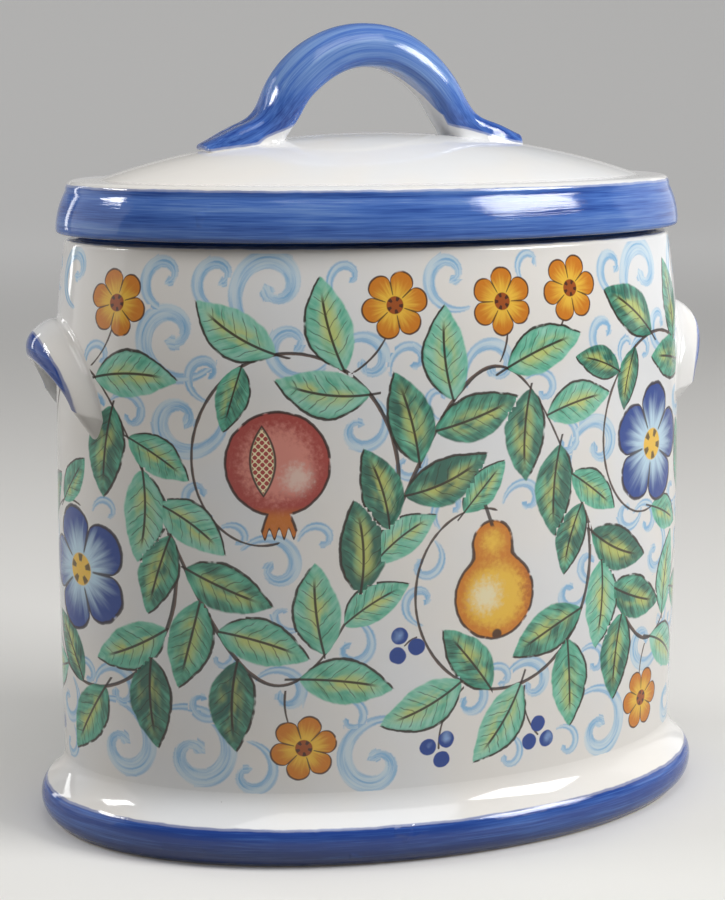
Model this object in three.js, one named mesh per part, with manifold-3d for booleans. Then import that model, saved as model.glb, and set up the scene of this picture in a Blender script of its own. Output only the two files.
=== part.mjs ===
// Oval lidded biscotti jar in glazed earthenware.
// Millimetres, +Z up. X is the long way of the oval, -Y is the front.
// The origin is on the standing surface, under the middle of the jar.
import * as THREE from 'three';
import { mergeVertices } from 'three/addons/utils/BufferGeometryUtils.js';
import Module from 'manifold-3d';

const wasm = await Module();
wasm.setup();

// Jar body: half sizes of the outer wall, heights above the standing surface.
const HALF_LENGTH = 112;
const HALF_WIDTH = 69.2;
const BODY_HEIGHT = 202.7;
const WALL_THICKNESS = 7;
const BELLY = 0.7;
const SHOULDER_HEIGHT = 50;
const SHOULDER_INSET = 4.6;
const RIM_ROUND = 2;
const FLOOR_THICKNESS = 7;

// Foot: how far it spreads past the wall, and its ledge under wall and floor.
const FOOT_HEIGHT = 23;
const FOOT_BAND_HEIGHT = 13.8;
const FOOT_BAND_SPREAD = 6.5;
const FOOT_SPREAD = 8.7;
const FOOT_BASE_SPREAD = 4.8;
const FOOT_LIP = 0.8;
const FOOT_LEDGE_HEIGHT = 6;
const FOOT_LEDGE_REACH = 18;

// Ears: hoods on the two ends, with heights as shares of the body height.
const EAR_TOP = 0.868 * BODY_HEIGHT;
const EAR_ROOT_END = 0.7 * BODY_HEIGHT;
const EAR_ROOT_HALF_SPAN = 29;
const EAR_LIP_HEIGHT = 0.798 * BODY_HEIGHT;
const EAR_LIP_END = 0.72 * BODY_HEIGHT;
const EAR_LIP_HALF_SPAN = 23;
const EAR_REACH = 10;
const EAR_LIP_THICKNESS = 9;
const EAR_END_SHARE = 0.6;
const EAR_RECESS = 4;
const EAR_CUT = 15;

// Lid: the upright edge, the flat ledge inside it and the dome.
const LID_EDGE_HEIGHT = 17.5;
const LID_EDGE_INSET = 1.1;
const LID_EDGE_LEAN = 3.4;
const LID_EDGE_ROUND = 1.5;
const LID_EDGE_BULGE = 0.8;
const LID_CORNER_ROUND = 2.5;
const LEDGE_WIDTH = 9;
const DOME_RISE = 15;
const DOME_FULLNESS = 0.92;
const LID_THICKNESS = 7;
const FLANGE_DEPTH = 12;
const FLANGE_THICKNESS = 6;
const MOUTH_CLEARANCE = 1.5;

// Lid handle: an arched strap, set by hand a little left of the middle.
const HANDLE_OFFSET = -3.5;
const HANDLE_HEIGHT = 36.8;
const ARCH_HALF_SPAN = 31;
const ARCH_SHARE = 0.665;
const ARCH_POWER = 2.2;
const TAIL_HALF_SPAN = 57;
const TAIL_SINK = 0.7;
const STRAP_WIDTH = 24;
const STRAP_THICKNESS = 14.8;
const LEG_THICKNESS = 10.8;
const TAIL_WIDTH = 15;
const TAIL_THICKNESS = 4;
const STRAP_ROUNDNESS = 0.95;
const UNDERSIDE_ROUNDNESS = 0.55;
const HEEL_DEPTH = 3;
const HEEL_RUN = 12;

// Film of slip between luted pieces, and of glaze between lid and rim.
const SLIP = 0.3;

// Facets round the ovals, and steps along the curves.
const OVAL_SEGMENTS = 64;
const CURVE_STEPS = 4;
const DOME_STEPS = 8;
const ARCH_STEPS = 10;
const TAIL_STEPS = 8;
const STRAP_SIDES = 16;
const EAR_RINGS = 20;
const EAR_SWEEP = 0.44 * Math.PI;

// Levels and reaches that follow from the sizes above.
const SEAT = FOOT_LEDGE_HEIGHT + SLIP;
const SHOULDER_START = BODY_HEIGHT - SHOULDER_HEIGHT;
const MOUTH_REACH = HALF_LENGTH - SHOULDER_INSET - WALL_THICKNESS;
const EAR_ROOT = -WALL_THICKNESS / 2;
const LID_BOTTOM = BODY_HEIGHT + SLIP;
const LEDGE_LEVEL = LID_BOTTOM + LID_EDGE_HEIGHT;
const LID_CEILING = LEDGE_LEVEL - LID_THICKNESS;
const LID_EDGE_REACH = HALF_LENGTH - LID_EDGE_INSET;
const LID_CORNER_REACH = LID_EDGE_REACH - LID_EDGE_LEAN;
const DOME_REACH = LID_CORNER_REACH - LID_CORNER_ROUND - LEDGE_WIDTH;
const DOME_TOP = LEDGE_LEVEL + DOME_RISE;
const FLANGE_REACH = MOUTH_REACH - MOUTH_CLEARANCE;
const LID_HOLLOW_REACH = FLANGE_REACH + SLIP;
const STRAP_CROWN = DOME_TOP + HANDLE_HEIGHT - STRAP_THICKNESS / 2;
const ARCH_DROP = ARCH_SHARE * (HANDLE_HEIGHT - STRAP_THICKNESS / 2);
const OVAL_DIFFERENCE = HALF_LENGTH - HALF_WIDTH;
const DOME_OVAL = (DOME_REACH - OVAL_DIFFERENCE) / DOME_REACH;

const whiteGlaze = new THREE.MeshStandardMaterial({ color: 0xefebe3, roughness: 0.12, metalness: 0 });
const blueGlaze = new THREE.MeshStandardMaterial({ color: 0x3f62b0, roughness: 0.14, metalness: 0 });

// Half width of the oval whose half length is reach.
// Rings outside the dome are parallel bands; the dome's own rings shrink to its middle.
function halfWidthAt(reach) {
  return reach > DOME_REACH ? reach - OVAL_DIFFERENCE : reach * DOME_OVAL;
}

// Outer face of the wall at a height: a slight belly, then a shoulder that leans in.
function wallReach(height) {
  if (height > SHOULDER_START) {
    const lean = (height - SHOULDER_START) / SHOULDER_HEIGHT;
    return HALF_LENGTH - SHOULDER_INSET * lean * lean;
  }
  const rise = Math.max(0, height - FOOT_HEIGHT) / (SHOULDER_START - FOOT_HEIGHT);
  return HALF_LENGTH + BELLY * Math.sin(Math.PI * rise);
}

// Outer face of the dome at a share of its reach, 0 in the middle and 1 at the ledge.
function domeHeight(share) {
  return LEDGE_LEVEL + DOME_RISE * Math.max(0, 1 - share * share) ** DOME_FULLNESS;
}

// Solid swept round the oval from a profile of reach and height.
function ovalGeometry(profile) {
  const geometry = new THREE.LatheGeometry(profile, OVAL_SEGMENTS);
  geometry.rotateX(Math.PI / 2);
  const position = geometry.attributes.position;
  for (let i = 0; i < position.count; i += 1) {
    const reach = Math.hypot(position.getX(i), position.getY(i));
    if (reach > 0) {
      position.setY(i, position.getY(i) * halfWidthAt(reach) / reach);
    }
  }
  return geometry;
}

// Closed skin through a row of rings with equal point counts, capped at both ends.
function loftGeometry(rings) {
  const sides = rings[0].length;
  const indices = [];
  for (let ring = 0; ring + 1 < rings.length; ring += 1) {
    for (let side = 0; side < sides; side += 1) {
      const a = ring * sides + side;
      const b = ring * sides + (side + 1) % sides;
      indices.push(a, b, b + sides);
      indices.push(a, b + sides, a + sides);
    }
  }
  const last = (rings.length - 1) * sides;
  for (let side = 1; side + 1 < sides; side += 1) {
    indices.push(0, side + 1, side);
    indices.push(last, last + side, last + side + 1);
  }
  const geometry = new THREE.BufferGeometry().setFromPoints(rings.flat());
  geometry.setIndex(indices);
  return geometry;
}

function toSolid(geometry) {
  const bare = geometry.clone();
  bare.deleteAttribute('normal');
  bare.deleteAttribute('uv');
  const merged = mergeVertices(bare);
  return new wasm.Manifold(new wasm.Mesh({
    numProp: 3,
    vertProperties: new Float32Array(merged.attributes.position.array),
    triVerts: new Uint32Array(merged.index.array),
  }));
}

function toGeometry(solid) {
  const mesh = solid.getMesh();
  const geometry = new THREE.BufferGeometry();
  geometry.setAttribute('position', new THREE.BufferAttribute(mesh.vertProperties, 3));
  geometry.setIndex(new THREE.BufferAttribute(mesh.triVerts, 1));
  geometry.computeVertexNormals();
  return geometry;
}

// Heights at which the wall's face is sampled, from its seat to a top level.
function wallHeights(top) {
  const heights = [SEAT, FOOT_HEIGHT];
  for (let i = 1; i <= CURVE_STEPS; i += 1) {
    heights.push(FOOT_HEIGHT + (SHOULDER_START - FOOT_HEIGHT) * i / CURVE_STEPS);
  }
  for (let i = 1; i <= CURVE_STEPS; i += 1) {
    heights.push(SHOULDER_START + (top - SHOULDER_START) * i / CURVE_STEPS);
  }
  return heights;
}

// Plinth: a bulging band at the bottom, a sloping flare up to the wall, a ledge inside.
function footRing() {
  const flareReach = HALF_LENGTH + SLIP + FOOT_LIP;
  const profile = new THREE.Path();
  profile.moveTo(HALF_LENGTH - FOOT_LEDGE_REACH, 0);
  profile.lineTo(HALF_LENGTH + FOOT_BASE_SPREAD, 0);
  profile.bezierCurveTo(
    HALF_LENGTH + FOOT_SPREAD, FOOT_BAND_HEIGHT / 5,
    HALF_LENGTH + FOOT_SPREAD * 1.15, FOOT_BAND_HEIGHT * 3 / 4,
    HALF_LENGTH + FOOT_BAND_SPREAD, FOOT_BAND_HEIGHT,
  );
  profile.quadraticCurveTo(
    HALF_LENGTH + FOOT_BAND_SPREAD / 2, FOOT_HEIGHT - FOOT_BAND_SPREAD / 2,
    flareReach, FOOT_HEIGHT,
  );
  profile.lineTo(HALF_LENGTH + SLIP, FOOT_HEIGHT);
  profile.lineTo(HALF_LENGTH + SLIP, FOOT_LEDGE_HEIGHT);
  profile.lineTo(HALF_LENGTH - FOOT_LEDGE_REACH, FOOT_LEDGE_HEIGHT);
  profile.lineTo(HALF_LENGTH - FOOT_LEDGE_REACH, 0);
  return ovalGeometry(profile.getPoints(CURVE_STEPS + 1));
}

// Upright oval wall that stands on the foot's ledge, with a rounded rim.
function jarWall() {
  const faceTop = BODY_HEIGHT - RIM_ROUND;
  const heights = wallHeights(faceTop);
  const rimReach = wallReach(BODY_HEIGHT);
  const profile = new THREE.Path();
  profile.moveTo(wallReach(SEAT) - WALL_THICKNESS, SEAT);
  for (const height of heights) {
    profile.lineTo(wallReach(height), height);
  }
  profile.quadraticCurveTo(rimReach, BODY_HEIGHT, rimReach - RIM_ROUND, BODY_HEIGHT);
  profile.lineTo(MOUTH_REACH + RIM_ROUND, BODY_HEIGHT);
  profile.quadraticCurveTo(MOUTH_REACH, BODY_HEIGHT, wallReach(faceTop) - WALL_THICKNESS, faceTop);
  for (const height of heights.slice(0, -1).reverse()) {
    profile.lineTo(wallReach(height) - WALL_THICKNESS, height);
  }
  return ovalGeometry(profile.getPoints(CURVE_STEPS));
}

// Oval slab inside the wall, on the same ledge.
function jarFloor() {
  const reach = wallReach(SEAT) - WALL_THICKNESS - SLIP;
  return ovalGeometry([
    new THREE.Vector2(0, SEAT),
    new THREE.Vector2(reach, SEAT),
    new THREE.Vector2(reach, SEAT + FLOOR_THICKNESS),
    new THREE.Vector2(0, SEAT + FLOOR_THICKNESS),
  ]);
}

// Everything inside the wall's outer face, grown by the film of slip.
function wallEnvelope() {
  const face = wallHeights(BODY_HEIGHT).map(
    (height) => new THREE.Vector2(wallReach(height) + SLIP, height),
  );
  const bottom = new THREE.Vector2(0, SEAT);
  const top = new THREE.Vector2(0, BODY_HEIGHT);
  return toSolid(ovalGeometry([bottom, ...face, top]));
}

// Where the wall's end is along X, at a distance across from the middle plane.
function wallEnd(across, height) {
  const reach = wallReach(height);
  const share = across / halfWidthAt(reach);
  return reach * Math.sqrt(Math.max(0, 1 - share * share));
}

// One cross-section of an ear at an angle along its arch, from the root's underside,
// out round the thick lip and back over the top to the root.
// A cut of 1 slants the section down into the wall, as the ear's ends are trimmed.
function earSection(angle, side, cut) {
  const lift = Math.cos(angle);
  const lipAcross = EAR_LIP_HALF_SPAN * Math.sin(angle);
  const rootAcross = EAR_ROOT_HALF_SPAN * Math.sin(angle);
  const lip = THREE.MathUtils.lerp(EAR_LIP_END, EAR_LIP_HEIGHT, lift);
  const top = THREE.MathUtils.lerp(EAR_ROOT_END, EAR_TOP, lift);
  const size = THREE.MathUtils.lerp(EAR_END_SHARE, 1, lift);
  const reach = SLIP + EAR_REACH * size;
  const crest = lip + (top - lip) * EAR_LIP_THICKNESS / (EAR_TOP - EAR_LIP_HEIGHT);
  const outline = [
    [EAR_ROOT, 0, lip + EAR_RECESS * lift],
    [reach * 0.4, 0, lip + EAR_RECESS * lift],
    [reach * 0.7, 0, lip],
    [reach * 0.94, 0.1, THREE.MathUtils.lerp(lip, crest, 0.12)],
    [reach, 0.3, THREE.MathUtils.lerp(lip, crest, 0.5)],
    [reach * 0.9, 0.55, THREE.MathUtils.lerp(lip, crest, 0.85)],
    [reach * 0.65, 0.75, THREE.MathUtils.lerp(crest, top, 0.35)],
    [reach * 0.25, 0.95, THREE.MathUtils.lerp(crest, top, 0.85)],
    [EAR_ROOT, 1, top],
  ];
  return outline.map(([out, share, height]) => {
    const across = THREE.MathUtils.lerp(lipAcross, rootAcross, share);
    const level = height - cut * EAR_CUT * (out - EAR_ROOT) / (reach - EAR_ROOT);
    const proud = THREE.MathUtils.lerp(out, EAR_ROOT, cut);
    return new THREE.Vector3(side * (wallEnd(across, level) + proud), across, level);
  });
}

// Hood-shaped lug on one end of the wall: side is 1 on the right and -1 on the left.
function ear(side) {
  const rings = [earSection(side * EAR_SWEEP, side, 1)];
  for (let i = 0; i <= EAR_RINGS; i += 1) {
    const share = side * (1 - 2 * i / EAR_RINGS);
    rings.push(earSection(share * EAR_SWEEP, side, 0));
  }
  rings.push(earSection(-side * EAR_SWEEP, side, 1));
  return toGeometry(toSolid(loftGeometry(rings)).subtract(wallEnvelope()));
}

// Points of the dome from the ledge to the middle, raised by a distance.
function domePoints(raise) {
  const points = [];
  for (let i = 0; i <= DOME_STEPS; i += 1) {
    const share = Math.cos(Math.PI / 2 * i / DOME_STEPS);
    points.push(new THREE.Vector2(i < DOME_STEPS ? DOME_REACH * share : 0, domeHeight(share) + raise));
  }
  return points;
}

// Lid: starts in the middle of its hollow underside and ends on top of the dome.
function lidShell() {
  const underside = domePoints(-LID_THICKNESS).reverse();
  const edgeLow = LID_BOTTOM + LID_EDGE_ROUND;
  const edgeTop = LEDGE_LEVEL - LID_CORNER_ROUND;
  const profile = new THREE.Path();
  profile.moveTo(underside[0].x, underside[0].y);
  for (const point of underside.slice(1)) {
    profile.lineTo(point.x, point.y);
  }
  profile.lineTo(LID_HOLLOW_REACH, LID_CEILING);
  profile.lineTo(LID_HOLLOW_REACH, LID_BOTTOM);
  profile.lineTo(LID_EDGE_REACH - LID_EDGE_ROUND, LID_BOTTOM);
  profile.quadraticCurveTo(LID_EDGE_REACH, LID_BOTTOM, LID_EDGE_REACH, edgeLow);
  profile.quadraticCurveTo(
    (LID_EDGE_REACH + LID_CORNER_REACH) / 2 + 2 * LID_EDGE_BULGE, (edgeLow + edgeTop) / 2,
    LID_CORNER_REACH, edgeTop,
  );
  profile.quadraticCurveTo(
    LID_CORNER_REACH, LEDGE_LEVEL,
    LID_CORNER_REACH - LID_CORNER_ROUND, LEDGE_LEVEL,
  );
  for (const point of domePoints(0)) {
    profile.lineTo(point.x, point.y);
  }
  return ovalGeometry(profile.getPoints(CURVE_STEPS));
}

// Ring luted inside the lid's edge; it hangs into the mouth with a loose fit.
function lidFlange() {
  const inner = FLANGE_REACH - FLANGE_THICKNESS;
  const top = LID_CEILING - SLIP;
  const bottom = LID_BOTTOM - FLANGE_DEPTH;
  const round = FLANGE_THICKNESS / 2;
  const profile = new THREE.Path();
  profile.moveTo(inner, bottom + round);
  profile.quadraticCurveTo(inner, bottom, inner + round, bottom);
  profile.quadraticCurveTo(FLANGE_REACH, bottom, FLANGE_REACH, bottom + round);
  profile.lineTo(FLANGE_REACH, top);
  profile.lineTo(inner, top);
  profile.lineTo(inner, bottom + round);
  return ovalGeometry(profile.getPoints(CURVE_STEPS));
}

// Everything under the lid's top face, grown by the film of slip.
function domeEnvelope() {
  const points = [
    new THREE.Vector2(0, LID_CEILING),
    new THREE.Vector2(DOME_REACH, LID_CEILING),
    ...domePoints(SLIP),
  ];
  return toSolid(ovalGeometry(points));
}

// Middle line of half the strap, from the crown down one leg and out along its tail.
function halfStrapLine() {
  const line = [];
  for (let i = 0; i <= ARCH_STEPS; i += 1) {
    const share = i / ARCH_STEPS;
    line.push(new THREE.Vector2(ARCH_HALF_SPAN * share, STRAP_CROWN - ARCH_DROP * share ** ARCH_POWER));
  }
  const leg = line[ARCH_STEPS];
  const tailEnd = new THREE.Vector2(
    TAIL_HALF_SPAN,
    domeHeight((TAIL_HALF_SPAN - HANDLE_OFFSET) / DOME_REACH) - TAIL_SINK,
  );
  const slope = ARCH_POWER * ARCH_DROP / ARCH_HALF_SPAN;
  const run = (TAIL_HALF_SPAN - ARCH_HALF_SPAN) / 4.5;
  const tail = new THREE.CubicBezierCurve(
    leg,
    new THREE.Vector2(leg.x + run, leg.y - run * slope),
    new THREE.Vector2(leg.x + 2 * run, tailEnd.y + (leg.y - tailEnd.y) * 0.28),
    tailEnd,
  );
  return [...line, ...tail.getPoints(TAIL_STEPS).slice(1)];
}

// Thickness and width of the strap at a distance from its crown along X.
function strapSize(distance) {
  if (distance <= ARCH_HALF_SPAN) {
    const share = distance / ARCH_HALF_SPAN;
    return [STRAP_THICKNESS - (STRAP_THICKNESS - LEG_THICKNESS) * share * share, STRAP_WIDTH];
  }
  const share = (distance - ARCH_HALF_SPAN) / (TAIL_HALF_SPAN - ARCH_HALF_SPAN);
  return [
    THREE.MathUtils.lerp(LEG_THICKNESS, TAIL_THICKNESS, share),
    THREE.MathUtils.lerp(STRAP_WIDTH, TAIL_WIDTH, share * share),
  ];
}

// Cross-section of the strap, square to its middle line: round on top and flatter below.
// Its underside thickens to a heel where the leg stands on the dome.
function strapSection(centre, along) {
  const distance = Math.abs(centre.x);
  const [thickness, width] = strapSize(distance);
  const heel = HEEL_DEPTH * THREE.MathUtils.smoothstep(
    distance,
    ARCH_HALF_SPAN - HEEL_RUN / 2,
    ARCH_HALF_SPAN + HEEL_RUN / 2,
  );
  const ring = [];
  for (let i = 0; i < STRAP_SIDES; i += 1) {
    const angle = 2 * Math.PI * i / STRAP_SIDES;
    const rise = Math.cos(angle);
    const turn = Math.sin(angle);
    const depth = thickness / 2 + (rise < 0 ? heel : 0);
    const roundness = rise < 0 ? UNDERSIDE_ROUNDNESS : STRAP_ROUNDNESS;
    const up = Math.sign(rise) * Math.abs(rise) ** roundness * depth;
    const across = Math.sign(turn) * Math.abs(turn) ** roundness * width / 2;
    ring.push(new THREE.Vector3(
      HANDLE_OFFSET + centre.x - along.y * up,
      -across,
      centre.y + along.x * up,
    ));
  }
  return ring;
}

// Arched strap with its tails bedded on the dome.
function lidHandle() {
  const right = halfStrapLine();
  const left = right.slice(1).reverse().map((point) => new THREE.Vector2(-point.x, point.y));
  const line = [...left, ...right];
  const rings = line.map((centre, i) => {
    const before = line[Math.max(0, i - 1)];
    const after = line[Math.min(line.length - 1, i + 1)];
    return strapSection(centre, after.clone().sub(before).normalize());
  });
  return toGeometry(toSolid(loftGeometry(rings)).subtract(domeEnvelope()));
}

function piece(name, geometry, material) {
  const mesh = new THREE.Mesh(geometry, material);
  mesh.name = name;
  return mesh;
}

const body = new THREE.Group();
body.add(
  piece('foot_ring', footRing(), blueGlaze),
  piece('jar_wall', jarWall(), whiteGlaze),
  piece('jar_floor', jarFloor(), whiteGlaze),
  piece('ear_left', ear(-1), whiteGlaze),
  piece('ear_right', ear(1), whiteGlaze),
);

const lid = new THREE.Group();
lid.add(
  piece('lid_shell', lidShell(), whiteGlaze),
  piece('lid_flange', lidFlange(), whiteGlaze),
  piece('lid_handle', lidHandle(), blueGlaze),
);

const biscottiJar = new THREE.Group();
biscottiJar.add(body, lid);

export default biscottiJar;
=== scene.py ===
# Oval biscotti jar in glazed earthenware, with an ear on each end and a lift-off lid.
# Cobalt bands edge the foot, lid, handle and ears; a fruiting vine scroll runs round the wall.
import itertools
import math
import random
from functools import partialmethod

import bmesh
import bpy
import numpy as np
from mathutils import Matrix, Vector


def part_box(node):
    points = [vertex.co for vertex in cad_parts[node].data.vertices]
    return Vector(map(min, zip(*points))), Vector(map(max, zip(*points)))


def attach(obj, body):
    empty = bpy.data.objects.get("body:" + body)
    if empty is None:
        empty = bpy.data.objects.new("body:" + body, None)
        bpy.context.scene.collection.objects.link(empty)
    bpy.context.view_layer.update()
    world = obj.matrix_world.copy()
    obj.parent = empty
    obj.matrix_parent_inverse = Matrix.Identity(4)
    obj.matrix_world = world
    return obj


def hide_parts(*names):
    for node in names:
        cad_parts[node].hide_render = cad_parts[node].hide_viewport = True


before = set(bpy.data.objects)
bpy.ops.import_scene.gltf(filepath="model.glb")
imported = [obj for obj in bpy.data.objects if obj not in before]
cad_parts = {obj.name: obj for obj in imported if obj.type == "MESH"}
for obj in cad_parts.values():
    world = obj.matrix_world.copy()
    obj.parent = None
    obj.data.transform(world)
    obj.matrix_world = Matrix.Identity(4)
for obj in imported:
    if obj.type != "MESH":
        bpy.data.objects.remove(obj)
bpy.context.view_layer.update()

MM = 0.001


def node_corners(node):
    """Lowest and highest corners of a node, in millimetres."""
    low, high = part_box(node)
    return low / MM, high / MM


# Sizes in millimetres, from the frame where a node's box gives them.
wall_low, wall_high = node_corners("jar_wall")
_, floor_high = node_corners("jar_floor")
_, foot_high = node_corners("foot_ring")
lid_low, lid_high = node_corners("lid_shell")
flange_low, flange_high = node_corners("lid_flange")
handle_low, handle_high = node_corners("lid_handle")

# Jar body.
BELLY = 0.7
SHOULDER_HEIGHT = 50
SHOULDER_INSET = 4.6
WALL_THICKNESS = 7
RIM_DROP = 3
RIM_STEP = 1.6
RIM_SHELF = 4.8
RIM_SHELF_FLAT = 0.4
RIM_INNER_ROUND = 1.8
# How far below the rim's top the blue reaches: a thin line of it shows under the lid, and the rest lies
# deep in the gap as painted shade.
RIM_BLUE_AND_GAP_SHADE = 1.95
HALF_LENGTH = wall_high.x - BELLY
OVAL_DIFFERENCE = wall_high.x - wall_high.y
BODY_HEIGHT = wall_high.z
SEAT = wall_low.z
SHOULDER_START = BODY_HEIGHT - SHOULDER_HEIGHT
RIM_REACH = HALF_LENGTH - SHOULDER_INSET

# Foot: a blue band that bulges, and a white flare that feathers out on the wall.
FOOT_HEIGHT = foot_high.z
FOOT_BAND_HEIGHT = 13.8
FOOT_BAND_SPREAD = 6.5
FOOT_SPREAD = 8.7
FOOT_BASE_SPREAD = 4.8
FOOT_BASE_ROUND = 1.2
FOOT_BASE_LEAN = 0.4
FOOT_BULGE = (1.05 * FOOT_SPREAD, 1.15 * FOOT_SPREAD)
FOOT_LEDGE_HEIGHT = 6
FOOT_LEDGE_REACH = 18
FOOT_FEATHER = 1.2
FOOT_FEATHER_GAPS = (0.1, -0.02)
FOOT_BED = 0.7
FOOT_BARE_HEIGHT = 0.5

# Floor: a cove round its edge, and a slight dish halfway in and in the middle.
FLOOR_COVE = 9
FLOOR_DISH = (0.3, 0.4)

# Ears, with heights as shares of the body height.
EAR_TOP = 0.868 * BODY_HEIGHT
EAR_ROOT_END = 0.682 * BODY_HEIGHT
EAR_ROOT_HALF_SPAN = 29
EAR_LIP_HEIGHT = 0.798 * BODY_HEIGHT
EAR_LIP_END = 0.72 * BODY_HEIGHT
EAR_LIP_HALF_SPAN = 23
EAR_REACH = 10.3
EAR_LIP_THICKNESS = 9
EAR_END_SHARE = 0.6
EAR_RECESS = 4
EAR_FILLET = 1.6
EAR_ROOT = -WALL_THICKNESS / 2
EAR_SWEEP = 0.44 * math.pi
EAR_EDGE = 0.02
EAR_CUTS = (15, 10)
EAR_CUT_STEPS = (0.04, 0.3, 0.65, 1)
EAR_STRIPE = (0.1, 0.5, 0.66)

# Lid.
LID_BOTTOM = lid_low.z
LID_EDGE_REACH = lid_high.x
LID_EDGE_LEAN = 3.4
LID_EDGE_ROUND = 1.5
LID_EDGE_BULGE = 0.8
LID_CORNER_ROUND = 3.4
LID_BAND_TOP = LID_BOTTOM + 16.4
LEDGE_WIDTH = 8.1
DOME_TOP = lid_high.z
DOME_RISE = 15
DOME_FULLNESS = 0.92
LID_THICKNESS = 7
LEDGE_LEVEL = DOME_TOP - DOME_RISE
LID_CORNER_REACH = LID_EDGE_REACH - LID_EDGE_LEAN
DOME_REACH = LID_CORNER_REACH - LID_CORNER_ROUND - LEDGE_WIDTH
DOME_OVAL = (DOME_REACH - OVAL_DIFFERENCE) / DOME_REACH
FLANGE_REACH = flange_high.x
FLANGE_THICKNESS = 6
FLANGE_GAP = 0.3
FLANGE_FILLET = (5, 6)

# Handle: an arched strap whose tails are pressed down on the dome.
STRAP_WIDTH = handle_high.y - handle_low.y
STRAP_THICKNESS = 14.8
LEG_THICKNESS = 11.4
TAIL_WIDTH = 15
TAIL_ENDS = (4.8, 9)
TAIL_RISE = 0.2
TAIL_END_ROUND = 0.5
STRAP_ROUNDNESS = 0.95
UNDERSIDE_ROUNDNESS = 0.55
TAIL_ROUNDNESS = 0.75
CROWN_SHARE = 0.68
HEEL_DEPTH = 3
HEEL_RUN = 12
ARCH_HALF_SPAN = 31
ARCH_SHARE = 0.665
ARCH_POWER = 2.2
TAIL_SPANS = (57, 54.8)
TAIL_PULL = 1 / 4.5
TAIL_DIP = 0.28
HANDLE_OFFSET = (handle_low.x + handle_high.x) / 2
STRAP_CROWN = handle_high.z - STRAP_THICKNESS / 2
ARCH_DROP = ARCH_SHARE * (STRAP_CROWN - DOME_TOP)
SWELL = (1.7, 0)
SWELL_PLACE = 26
SWELL_RUN = 13
FOLD_PLACE = 6
FOLD_RUN = 6
FOLD_DEPTH = 1
THUMB_DEPTH = 2.2
THUMB_WIDTH = 0.8
FOLD_WAIST = 0.12
TAIL_RIM = 2.2
LUTE_HEIGHT = 2.6
LUTE_SPREAD = 1.2
LUTE_MOST = 1.3
BARE_FRONT = (-0.2, 0.7)
BARE_FRONT_POWER = 8
BARE_BACK = 0.86
BARE_HEELS = (4.8, 3.5)
BARE_RUNS = (12, 16)
BARE_EDGES = (0.3, 0.4)

# Fineness of the meshes.
FINE_STEPS = 20000
WALL_COLUMNS = 384
OVAL_COLUMNS = 224
PAINT_STEP = 1.5
INSIDE_STRIDE = 8
LINE_STEPS = 60
STRAP_STEPS = 200
STRAP_SIDES = 56
EAR_STEPS = 70
EAR_SIDES = 44

# How much a brushed streak is drawn out along the stroke.
STREAK = 0.025

# Outside a band, the depth of blue that counts as none.
NO_BLUE = -9

# Places nearer than this count as one.
TOUCH = 0.1

# Slow swells that a hand-built oval keeps: depth, waves round it, height per radian, turns of phase.
HAND_SWELLS = ((0.2, 3, 45, 1), (0.16, 5, -30, 2))
JAR_PHASE = 0.4
LID_PHASE = 2.1


def mixed(start, end, share):
    return start + (end - start) * share


def half_width(reach):
    """Half width of the oval with this half length."""
    return np.where(reach > DOME_REACH, reach - OVAL_DIFFERENCE, reach * DOME_OVAL)


def wall_reach(height):
    """Outer face of the wall: a slight belly, then a shoulder that leans in."""
    lean = np.maximum(0, height - SHOULDER_START) / SHOULDER_HEIGHT
    rise = np.clip((height - FOOT_HEIGHT) / (SHOULDER_START - FOOT_HEIGHT), 0, 1)
    return HALF_LENGTH + BELLY * np.sin(np.pi * rise) - SHOULDER_INSET * lean ** 2


def wall_end(across, height):
    """Where the wall's end is along X, at a distance across from the middle plane."""
    reach = wall_reach(height)
    return reach * np.sqrt(np.maximum(0, 1 - (across / half_width(reach)) ** 2))


def dome_height(share):
    """Top face of the lid at a share of the dome's reach."""
    return LEDGE_LEVEL + DOME_RISE * np.maximum(0, 1 - share ** 2) ** DOME_FULLNESS


def dome_under(x, y):
    """Top face of the lid under a point."""
    return dome_height(np.hypot(x, y / DOME_OVAL) / DOME_REACH)


def unevenness(angle, height, phase):
    """How far the hand-built oval swells out."""
    swells = (
        depth * np.sin(waves * angle + height / pitch + turns * phase)
        for depth, waves, pitch, turns in HAND_SWELLS
    )
    return sum(swells)


def bezier(points, steps):
    """Points along the curve that a row of control points pulls."""
    shares = np.linspace(0, 1, steps + 1)[:, None]
    rows = [np.array(point, float)[None, :] for point in points]
    while len(rows) > 1:
        rows = [mixed(a, b, shares) for a, b in zip(rows, rows[1:])]
    return rows[0].tolist()


def smooth_line(points, count):
    """Even points on a smooth line through the given ones."""
    padded = np.vstack([2 * points[0] - points[1], points, 2 * points[-1] - points[-2]])
    where = np.linspace(0, len(points) - 1, count)
    index = np.minimum(where.astype(int), len(points) - 2)
    t = (where - index)[:, None]
    before, start, end, after = (padded[index + i] for i in range(4))
    return 0.5 * (
        2 * start + (end - before) * t
        + (2 * before - 5 * start + 4 * end - after) * t ** 2
        + (3 * start - before - 3 * end + after) * t ** 3
    )


def arc_lengths(path):
    """Length along a path in a plane, up to each of its points."""
    return np.concatenate([[0], np.cumsum(np.hypot(*np.diff(path, axis=0).T))])


def headings(path):
    """Direction of a path at each of its points."""
    steps = np.gradient(path, axis=0)
    return steps / np.linalg.norm(steps, axis=1, keepdims=True)


def along_path(path, run):
    """Points of a path at the given lengths along it."""
    lengths = arc_lengths(path)
    return np.column_stack([np.interp(run, lengths, path[:, i]) for i in range(2)])


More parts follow.
